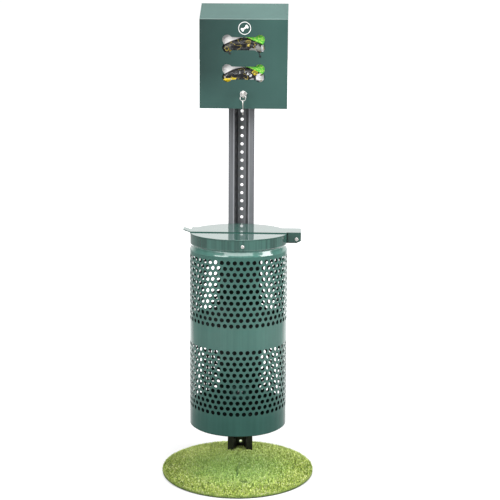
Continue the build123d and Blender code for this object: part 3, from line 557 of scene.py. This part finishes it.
def seam_share(m, place_x, place_y):
    """1 on the parting seam at its front end, fading towards its back end and its sides."""
    across = mapped(m, distance(m, place_x, SEAM_X), 1.0, 0.0, 1.5 * MM, 3.5 * MM)
    along = mapped(m, place_y, 0.9, 0.0, SEAM_Y0, SEAM_Y1)
    behind_start = mapped(m, place_y, 0.0, 1.0, SEAM_Y0 - 2 * MM, SEAM_Y0)
    return product(m, across, along, behind_start)


def dimple_share(m, place_x, place_y):
    """Near 1 in the dimple and 0 outside it."""
    flat = m.add("ShaderNodeCombineXYZ")
    m.link(place_x, flat.inputs["X"])
    m.link(place_y, flat.inputs["Y"])
    away = m.add("ShaderNodeVectorMath", operation="DISTANCE")
    m.link(flat.outputs[0], away.inputs[0])
    away.inputs[1].default_value = (DIMPLE.x, DIMPLE.y, 0)
    return mapped(m, away.outputs["Value"], 0.85, 0.0, 6 * MM, 15 * MM)


def turf_material(name):
    """Grass fibre: each blade its own yellow-green, darker at its root, with painted light and shade over
    the disc:
    painted shade at the left, in the seam and in the dimple, painted light in the middle tinted green by the
    can, and painted light at the back."""
    m = Builder(name)
    island = m.add("ShaderNodeNewGeometry").outputs["Random Per Island"]
    ramp = m.add("ShaderNodeValToRGB")
    while len(ramp.color_ramp.elements) < len(BLADE_STOPS):
        ramp.color_ramp.elements.new(0.5)
    for element, (at, colour) in zip(ramp.color_ramp.elements, BLADE_STOPS):
        element.position = at
        element.color = (*colour, 1)
    patch = noise_value(m, PATCHES, -0.12, 0.16, detail=3.0)
    tuft = noise_value(m, TUFTS, -0.45, 0.40, detail=1.0)
    m.link(maths(m, "ADD", maths(m, "ADD", patch, tuft), island), ramp.inputs[0])
    root = mapped(m, axis_value(m, "Z"), 0.0, 1.0, turf_low.z + BACKING_T, turf_high.z - 0.5 * MM)
    colour = mix(m, root, ROOT_GREEN, ramp.outputs[0])
    place_x, place_y = axis_value(m, "X"), axis_value(m, "Y")
    # painted shade at the left
    colour = mix(m, mapped(m, place_x, 0.34, 0.05, *LEFT_SPAN), colour, LEFT_SHADE_GREEN)
    # painted shade in the parting seam and in the dimple
    colour = mix(m, seam_share(m, place_x, place_y), colour, SEAM_SHADE_GREEN)
    colour = mix(m, dimple_share(m, place_x, place_y), colour, DIMPLE_SHADE_GREEN)
    # painted light in the middle, tinted by the can's green reflection
    colour = mix(m, mapped(m, radius_value(m), 0.34, 0.0, *MIDDLE_SPAN), colour, MIDDLE_LIGHT_GREEN)
    # painted light at the back
    colour = mix(m, mapped(m, place_y, 0.0, 0.30, *BACK_SPAN), colour, BACK_LIGHT_GREEN)
    m.link(colour, m.shader.inputs["Base Color"])
    m.link(noise_value(m, 800.0, 0.42, 0.6), m.shader.inputs["Roughness"])
    return m.material


def backing_material(name):
    """Dark green latex backing with a pimpled surface."""
    m = Builder(name)
    cells = m.add("ShaderNodeTexVoronoi")
    cells.inputs["Scale"].default_value = 1.0
    m.link(scaled_place(m, 380.0), cells.inputs["Vector"])
    pimples = mapped(m, cells.outputs["Distance"], 0.0, 1.0, 0.1, 0.8)
    m.link(mix(m, pimples, BACKING_DARK, BACKING_LIGHT), m.shader.inputs["Base Color"])
    m.link(noise_value(m, 300.0, 0.7, 0.9), m.shader.inputs["Roughness"])
    bump(m, cells.outputs["Distance"], 0.4, 0.8 * MM)
    return m.material


def turf_backing():
    """The backing: the CAD turf's own outline, slot included, cut down to a few millimetres' height."""
    source = NODES["turf_mat"].data
    verts = [v.co.copy() for v in source.vertices]
    top = turf_low.z + BACKING_T
    for v in verts:
        if v.z > top:
            v.z = top
    faces = [tuple(p.vertices) for p in source.polygons]
    piece = mesh_piece("turf_backing", verts, faces, backing_material("turf_backing"), smooth=False)
    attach(piece, "stand")
    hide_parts("turf_mat")


def in_post_slot(x, y):
    """True where the post stands: its flanges, sloping sides and web, with a small margin."""
    if y < post_low.y - SLOT_MARGIN or y > post_high.y + SLOT_MARGIN:
        return False
    run = (y - post_low.y) / (post_high.y - post_low.y)
    inner = (POST_FRONT_HALF - POST_TAPER * run) * MM
    if y < post_low.y + POST_WALL:
        return inner - SLOT_MARGIN < abs(x) < post_high.x + SLOT_MARGIN
    if y > post_high.y - POST_WALL:
        return abs(x) < inner + POST_WALL + SLOT_MARGIN
    return inner - SLOT_MARGIN < abs(x) < inner + POST_WALL


def off_seam(x, y):
    """Distance from the wavy parting seam, or a metre where it doesn't reach."""
    if not SEAM_Y0 < y < SEAM_Y1:
        return 1.0
    return abs(x - SEAM_X - SEAM_WAVE * math.sin(y * SEAM_WAVE_RATE))


def off_dimple(x, y):
    return (Vector((x, y)) - DIMPLE).length


def blade_height(x, y):
    """How tall the pile stands here: shorter along the seam and in the dimple."""
    at_seam = SEAM_PILE + off_seam(x, y) / SEAM_SLOPE
    at_dimple = DIMPLE_PILE + (1 - DIMPLE_PILE) * off_dimple(x, y) / DIMPLE_R
    return min(1.0, at_seam, at_dimple)


def varied(least, extra):
    """A random number from least to least + extra."""
    return least + extra * rng.random()


def blade(verts, faces, foot, rise, out, tip_z, way, half, splay):
    """One fibre of two segments: it rises a little, then its tip bends over towards way."""
    x, y, z = foot
    dx, dy = math.cos(way), math.sin(way)
    wx, wy = -math.sin(way + splay) * half, math.cos(way + splay) * half
    mx, my = x + dx * out * 0.3, y + dy * out * 0.3
    k = len(verts)
    verts += [
        (x + wx, y + wy, z), (x - wx, y - wy, z),
        (mx + wx, my + wy, z + rise), (mx - wx, my - wy, z + rise),
        (x + dx * out, y + dy * out, tip_z),
    ]
    faces += [(k, k + 1, k + 3, k + 2), (k + 2, k + 3, k + 4)]


def pile_blades(verts, faces, base, pile):
    """Curled fibres all over the disc that lean every way."""
    for _ in range(BLADES):
        r = (TURF_R - RIM_MARGIN) * math.sqrt(rng.random())
        a = rng.random() * math.tau
        x, y = r * math.cos(a), r * math.sin(a)
        if in_post_slot(x, y) or off_seam(x, y) < SEAM_BARE or off_dimple(x, y) < DIMPLE_BARE_R:
            continue
        height = pile * varied(*BLADE_HEIGHT) * blade_height(x, y)
        way = math.tau * rng.random()
        out = height * varied(*BLADE_LEAN)
        half = varied(*BLADE_HALF) * MM
        foot, splay = (x, y, base), BLADE_TWIST * rng.normal()
        blade(verts, faces, foot, height * BEND_AT, out, base + height, way, half, splay)


def rim_fringe(verts, faces, base, pile):
    """Fibres that hang over the disc's rim, lower at the front."""
    for _ in range(FRINGE):
        a = rng.random() * math.tau
        r = TURF_R - varied(*FRINGE_INSET) * MM
        rise = pile * varied(*FRINGE_RISE)
        out = varied(*FRINGE_REACH) * MM
        to_front = min(1.0, max(0.0, -math.sin(a) * 2.2 - 1.0))
        hang = (FRINGE_HANG + FRONT_HANG * to_front) * MM
        tip = base + rise * varied(*FRINGE_TIP) - hang
        half = varied(*FRINGE_HALF) * MM
        foot = (r * math.cos(a), r * math.sin(a), base)
        way, splay = a + FRINGE_TURN * rng.normal(), FRINGE_TWIST * rng.normal()
        blade(verts, faces, foot, rise, out, tip, way, half, splay)


def turf_blades():
    """All fibres as one piece, each an island of its own."""
    verts, faces = [], []
    base = turf_low.z + BACKING_T - BLADE_SINK
    pile = turf_high.z - base
    pile_blades(verts, faces, base, pile)
    rim_fringe(verts, faces, base, pile)
    piece = mesh_piece("turf_blades", verts, faces, turf_material("turf_fibre"))
    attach(piece, "stand")


turf_backing()
turf_blades()


# ---------------------------------------------------------------- materials of cards and bags
FILM_BLACK, FILM_GREY = (0.004, 0.004, 0.005), (0.012, 0.012, 0.013)
LINE_YELLOW, LINE_WHITE = (0.42, 0.33, 0.05), (0.36, 0.36, 0.36)
YELLOW_INK, WHITE_INK, GREY_INK = (0.56, 0.42, 0.01), (0.50, 0.50, 0.52), (0.22, 0.22, 0.21)
OLIVE_INK, MUTED_INK = (0.10, 0.08, 0.02), (0.24, 0.19, 0.02)
DIM_INK, BLACK_INK = (0.045, 0.045, 0.040), (0.006, 0.006, 0.007)
CARD_WHITE, CARD_GREEN, CARD_DOTS = (0.74, 0.73, 0.72), (0.11, 0.66, 0.05), (0.66, 0.90, 0.18)
# printed lines: noise scale, line width, and the noise values between which a patch of lines sets in
YELLOW_LINES = (46.0, 0.011, 0.42, 0.48)
WHITE_LINES = (40.0, 0.010, 0.54, 0.58)
LONG_CREASES, CRINKLE = (60.0, 200.0, 260.0), 900.0  # noise scales of the film's bump
PRINT_EDGE_X = BOX_X + 4 * MM  # white to the left of this line and green to the right
DOTS_PER_M = 190.0


def oval(m, at, radii):
    """1 inside a ragged oval on the film and 0 outside; at and radii in X and Z."""
    ragged = maths(m, "MULTIPLY_ADD", noise_out(m, 110.0, detail=2.0), 12 * MM, -6 * MM)
    squares = []
    for axis, centre, radius in zip("XZ", at, radii):
        off = maths(m, "ADD", maths(m, "SUBTRACT", axis_value(m, axis), centre), ragged)
        squares.append(maths(m, "POWER", maths(m, "ABSOLUTE", maths(m, "DIVIDE", off, radius)), 2.0))
    return mapped(m, maths(m, "ADD", *squares), 1.0, 0.0, 0.85, 1.1)


def strokes(m, seed, scale, wide, patch_low, patch_high):
    """Thin wandering printed lines, kept only inside large patches."""
    moved = m.add("ShaderNodeVectorMath", operation="ADD")
    m.link(m.place, moved.inputs[0])
    moved.inputs[1].default_value = (seed, 0.37 * seed, 0.71 * seed)
    here, m.place = m.place, moved.outputs[0]
    off_line = distance(m, noise_out(m, scale, detail=1.0, distort=0.4), 0.5)
    patch = mapped(m, noise_out(m, 30.0, detail=1.0), 0.0, 1.0, patch_low, patch_high)
    m.place = here
    return product(m, mapped(m, off_line, 1.0, 0.0, wide * 0.5, wide), patch)


def film_material(name, seed, patches):
    """Glossy black bag film, printed with loose yellow and white lines and a few solid patches."""
    m = Builder(name)
    colour = mix(m, noise_value(m, 90.0, 0.0, 1.0), FILM_BLACK, FILM_GREY)
    for at, radii, ink in patches:
        colour = mix(m, oval(m, at, radii), colour, ink)
    colour = mix(m, strokes(m, seed, *YELLOW_LINES), colour, LINE_YELLOW)
    colour = mix(m, strokes(m, seed + 3.1, *WHITE_LINES), colour, LINE_WHITE)
    m.link(colour, m.shader.inputs["Base Color"])
    m.link(noise_value(m, 120.0, 0.14, 0.30, detail=5.0), m.shader.inputs["Roughness"])
    m.shader.inputs["Specular IOR Level"].default_value = 0.35
    creases = noise_out(m, LONG_CREASES, detail=6.0, distort=1.2)
    crinkle = product(m, noise_out(m, CRINKLE, detail=2.0), 0.2)
    bump(m, maths(m, "ADD", creases, crinkle), 0.6, 1.6 * MM)
    return m.material


def card_print(name):
    """Printed card, plain at the left and dotted at the right."""
    m = Builder(name)
    side = mapped(m, axis_value(m, "X"), 0.0, 1.0, PRINT_EDGE_X - 1 * MM, PRINT_EDGE_X + 1 * MM)
    cells = m.add("ShaderNodeTexVoronoi", voronoi_dimensions="2D")
    cells.inputs["Scale"].default_value = DOTS_PER_M
    face = m.add("ShaderNodeCombineXYZ")
    m.link(axis_value(m, "X"), face.inputs["X"])
    m.link(axis_value(m, "Z"), face.inputs["Y"])
    m.link(face.outputs[0], cells.inputs["Vector"])
    dots = mapped(m, cells.outputs["Distance"], 1.0, 0.0, 0.20, 0.34)
    plain = mix(m, noise_value(m, 160.0, 0.0, 0.5, detail=4.0), CARD_WHITE, scaled(CARD_WHITE, 0.8))
    m.link(mix(m, side, plain, mix(m, dots, CARD_GREEN, CARD_DOTS)), m.shader.inputs["Base Color"])
    m.link(noise_value(m, 200.0, 0.35, 0.55), m.shader.inputs["Roughness"])
    bump(m, noise_out(m, 300.0, detail=4.0), 0.12, 0.4 * MM)
    return m.material


# ---------------------------------------------------------------- header cards
CARD_SHEETS, CARD_COLUMNS, CARD_ROWS = 4, 48, 18
CARD_POINTS = (CARD_COLUMNS + 1) * (CARD_ROWS + 1)  # points on one side of a sheet
CARD_FILL = 0.8  # a sheet's thickness as a share of its place in the stack
CARD_BOW, REAR_BOW = 0.6 * MM, 0.4  # the front sheet's bow, and the others' as a share of it
PIN_INSET_X, PIN_INSET_Z = 7 * MM, 6 * MM
PIN_HOLE_R = 3.4 * MM
# a cell's neighbour and the two corners, in columns and rows, of the edge between them
CELL_EDGES = (
    ((-1, 0), (0, 0), (0, 1)), ((1, 0), (1, 1), (1, 0)), ((0, -1), (1, 0), (0, 0)), ((0, 1), (0, 1), (1, 1)),
)


def card_cells(low, high):
    """The cells of a sheet's grid that the pins' holes leave."""
    pin_low, pin_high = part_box("bag_pins")
    pins_x = (pin_low.x + PIN_INSET_X, pin_high.x - PIN_INSET_X)
    pin_z = high.z - PIN_INSET_Z

    def solid(i, j):
        x = low.x + (high.x - low.x) * (i + 0.5) / CARD_COLUMNS
        z = low.z + (high.z - low.z) * (j + 0.5) / CARD_ROWS
        return all(math.hypot(x - pin_x, z - pin_z) > PIN_HOLE_R for pin_x in pins_x)

    return {(i, j) for i in range(CARD_COLUMNS) for j in range(CARD_ROWS) if solid(i, j)}


def card_points(low, high, sheet):
    """Both sides of one sheet as grids of points; the front sheet bows forward most."""
    depth = high.y - low.y
    y0 = low.y + depth * sheet / CARD_SHEETS
    thick = depth / CARD_SHEETS * CARD_FILL
    points = []
    for side in (0, 1):
        for i in range(CARD_COLUMNS + 1):
            for j in range(CARD_ROWS + 1):
                u, v = i / CARD_COLUMNS, j / CARD_ROWS
                x = low.x + (high.x - low.x) * u
                z = low.z + (high.z - low.z) * v
                bow = CARD_BOW * math.sin(math.pi * u) * (1 - v) * (1 if sheet == 0 else REAR_BOW)
                points.append((x, y0 + side * thick - bow * (1 - side * 0.5), z))
    return points


def card_faces(start, cells):
    """One sheet's two sides and the walls round its outline and holes; its points begin at start."""
    def at(side, i, j):
        return start + side * CARD_POINTS + i * (CARD_ROWS + 1) + j

    faces = []
    for i, j in cells:
        faces.append((at(0, i, j), at(0, i + 1, j), at(0, i + 1, j + 1), at(0, i, j + 1)))
        faces.append((at(1, i, j), at(1, i, j + 1), at(1, i + 1, j + 1), at(1, i + 1, j)))
        for (di, dj), (pi, pj), (qi, qj) in CELL_EDGES:
            if (i + di, j + dj) not in cells:
                p, q = (i + pi, j + pj), (i + qi, j + qj)
                faces.append((at(0, *p), at(0, *q), at(1, *q), at(1, *p)))
    return faces


def card_stack(place):
    """The header cards: thin sheets fanned a little, bowed forward, with the pins' holes through them."""
    node = f"header_card_{place}"
    low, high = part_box(node)
    cells = card_cells(low, high)
    verts, faces = [], []
    for sheet in range(CARD_SHEETS):
        faces += card_faces(len(verts), cells)
        verts += card_points(low, high, sheet)
    piece = mesh_piece(node + "_sheets", verts, faces, card_print(f"card_print_{place}"), smooth=False)
    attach(piece, "stand")
    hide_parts(node)


# ---------------------------------------------------------------- bag film
ROLL_COLUMNS, ROLL_RING = 150, 96
ROLL_SQUARENESS = 0.62  # 1 would make the section an ellipse, 0 a rectangle
ROLL_TOP, ROLL_DROP = 20.0, 25.0  # mm, the arch above the slot's middle and its drop to the ends
ROLL_UNEVEN = 1.6  # mm
ROLL_FOOT, ROLL_LIFT = 2.0, 5.0  # mm, the underside above the pack's foot and its lift at the ends
ROLL_GAP, ROLL_RECESS = 0.9, 3.0  # mm, the front behind the cover and its recess at the ends
ROLL_BACK_GAP = 2 * MM
END_SHARE, END_CLOSE = 0.025, 0.85  # the outermost share of the roll, and how far it closes
FOLD_DEPTH, RIDGE_DEPTH = 2.6, 3.0  # mm
ROLL_SEEDS = {"upper": 1.3, "lower": 4.9}
# print on the rolls in millimetres: middle from the pack's in X and the slot's in Z, half sizes, ink
ROLL_PATCHES = {
    "upper": (
        ((-48, -13), (12, 10), DIM_INK), ((-50, -15), (8, 6), MUTED_INK), ((-50, -14), (6, 4), BLACK_INK),
        ((-40, -22), (5, 3), YELLOW_INK), ((12, 5), (8, 6), OLIVE_INK), ((36, -17), (19, 5), GREY_INK),
        ((46, -9), (10, 5), GREY_INK), ((47, -6), (6, 4), BLACK_INK), ((58, -12), (7, 10), WHITE_INK),
    ),
    "lower": (
        ((-47, -20), (13, 7), YELLOW_INK), ((-32, -17), (10, 3), YELLOW_INK),
        ((-49, -10), (7, 6), BLACK_INK), ((34, 1), (9, 7), YELLOW_INK), ((34, 1), (7, 5), BLACK_INK),
        ((33, 0), (2, 3), YELLOW_INK), ((37, 2), (2, 2), YELLOW_INK), ((14, -2), (4, 2), WHITE_INK),
        ((21, -8), (4, 3), WHITE_INK), ((24, -18), (7, 2), WHITE_INK), ((49, -13), (13, 12), WHITE_INK),
        ((54, -5), (3, 2), OLIVE_INK),
    ),
}
SLOT_HALF_HEIGHT = 17 * MM
TAIL_STEPS = 20
TAIL_KNOT = 6 * MM  # length of the knot at a shred's end
TAIL_PROUD = 0.9 * MM  # how far a shred lies in front of the cover
TAIL_EDGE_SLOPE = 6  # a shred comes out over the slot's edge in a sixth of its length
TAIL_HALF, TAIL_TAPER, KNOT_HALF = 1.7, 1.0, 2.2  # mm, half widths: at the top, lost on the way, of the knot
TAIL_THICK, KNOT_THICK = 0.3, 1.1  # mm
# name, X of its start and its end from the box's middle, height of its end, bow in X
TAILS = (
    ("film_tail_left", -43 * MM, -39.5 * MM, 1.2690, -0.5 * MM),
    ("film_tail_right", 38 * MM, 49.5 * MM, 1.2605, 3.0 * MM),
)


def roll_ring(u, x, low, back, mid_z, seed):
    """One section of the roll, at u from -1 to 1 along it, with its creases in front."""
    arch = abs(u) ** 1.7
    uneven = ROLL_UNEVEN * MM * noise.noise(Vector((u * 3, seed, 0)))
    top = mid_z + (ROLL_TOP - ROLL_DROP * arch) * MM + uneven
    bottom = low.z + (ROLL_FOOT + ROLL_LIFT * arch) * MM
    front = FACE_Y + FACE_SHEET + (ROLL_GAP + ROLL_RECESS * abs(u) ** 3.0) * MM
    close = 1.0 - max(0.0, (abs(u) - (1 - END_SHARE)) / END_SHARE) ** 2 * END_CLOSE
    cy, cz = (front + back) / 2, (top + bottom) / 2
    ry, rz = (back - front) / 2, (top - bottom) / 2 * close
    ring = []
    for k in range(ROLL_RING):
        a = math.tau * k / ROLL_RING
        c, s = math.cos(a), math.sin(a)
        y = -abs(c) ** ROLL_SQUARENESS * math.copysign(1, c)
        z = abs(s) ** ROLL_SQUARENESS * math.copysign(1, s)
        p = Vector((u * 2.2, z * 3.2 + seed, seed * 1.7 + (2.0 if c < 0 else 0)))
        fold = noise.fractal(p, 0.8, 2.1, 5) * FOLD_DEPTH * MM
        crest = Vector((u * 1.6 + 5 * seed, z * 5.5 + 1.3 * u * u, seed))
        ridge = (0.5 - abs(noise.noise(crest))) * RIDGE_DEPTH * MM
        depth = max(0.0, fold + ridge) if c > 0 else 0.3 * fold
        ring.append((x, cy + ry * y * close + depth, cz + rz * z))
    return ring


def film_roll(place):
    """The folded bags: a long soft roll with an arched top, its film pulled into creases along it."""
    node = f"bag_pack_{place}"
    low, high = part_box(node)
    half_w = (high.x - low.x) / 2 - 0.5 * MM
    centre_x = (high.x + low.x) / 2
    mid_z, back, seed = ROLL_MID_Z[place], high.y - ROLL_BACK_GAP, ROLL_SEEDS[place]
    verts, faces = [], []
    for i in range(ROLL_COLUMNS + 1):
        u = -1 + 2 * i / ROLL_COLUMNS
        verts += roll_ring(u, centre_x + half_w * u, low, back, mid_z, seed)
    for i in range(ROLL_COLUMNS):
        here, there = i * ROLL_RING, (i + 1) * ROLL_RING
        for k in range(ROLL_RING):
            n = (k + 1) % ROLL_RING
            faces.append((here + k, there + k, there + n, here + n))
    for first, flip in ((0, False), (ROLL_COLUMNS * ROLL_RING, True)):
        centre = len(verts)
        verts.append(tuple(np.mean(verts[first:first + ROLL_RING], axis=0)))
        for k in range(ROLL_RING):
            n = (k + 1) % ROLL_RING
            faces.append((centre, first + n, first + k) if flip else (centre, first + k, first + n))
    patches = [
        ((centre_x + x * MM, mid_z + z * MM), (rx * MM, rz * MM), ink)
        for (x, z), (rx, rz), ink in ROLL_PATCHES[place]
    ]
    piece = mesh_piece(node + "_film", verts, faces, film_material(f"bag_film_{place}", seed, patches))
    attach(piece, "stand")
    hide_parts(node)


def film_tail(name, start_x, end_x, end_z, bow):
    """A shred of bag film caught in the upper slot: it hangs down the cover to a small knotted end."""
    start_z = ROLL_MID_Z["upper"] - SLOT_HALF_HEIGHT
    knot_from = 1 - TAIL_KNOT / (start_z - end_z)
    verts, faces = [], []
    for i in range(TAIL_STEPS + 1):
        t = i / TAIL_STEPS
        x = BOX_X + start_x + (end_x - start_x) * t + bow * math.sin(math.pi * t)
        y = FACE_Y + FACE_SHEET - (FACE_SHEET + TAIL_PROUD) * min(1.0, TAIL_EDGE_SLOPE * t)
        z = start_z + (end_z - start_z) * t
        knot = math.sin(math.pi * (t - knot_from) / (1 - knot_from)) if t > knot_from else 0.0
        half = (TAIL_HALF - TAIL_TAPER * t + KNOT_HALF * knot) * MM
        thick = (TAIL_THICK + KNOT_THICK * knot) * MM
        verts += [(x - half, y, z), (x, y - thick, z), (x + half, y, z), (x, y + 0.2 * MM, z)]
    for i in range(TAIL_STEPS):
        for k in range(4):
            n = (k + 1) % 4
            faces.append((4 * i + k, 4 * i + n, 4 * i + 4 + n, 4 * i + 4 + k))
    last = 4 * TAIL_STEPS
    faces += [(3, 2, 1, 0), (last, last + 1, last + 2, last + 3)]
    piece = mesh_piece(name, verts, faces, film_material(name, 20 * start_x, ()))
    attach(piece, "cover")


for where in ("upper", "lower"):
    card_stack(where)
    film_roll(where)
for tail in TAILS:
    film_tail(*tail)
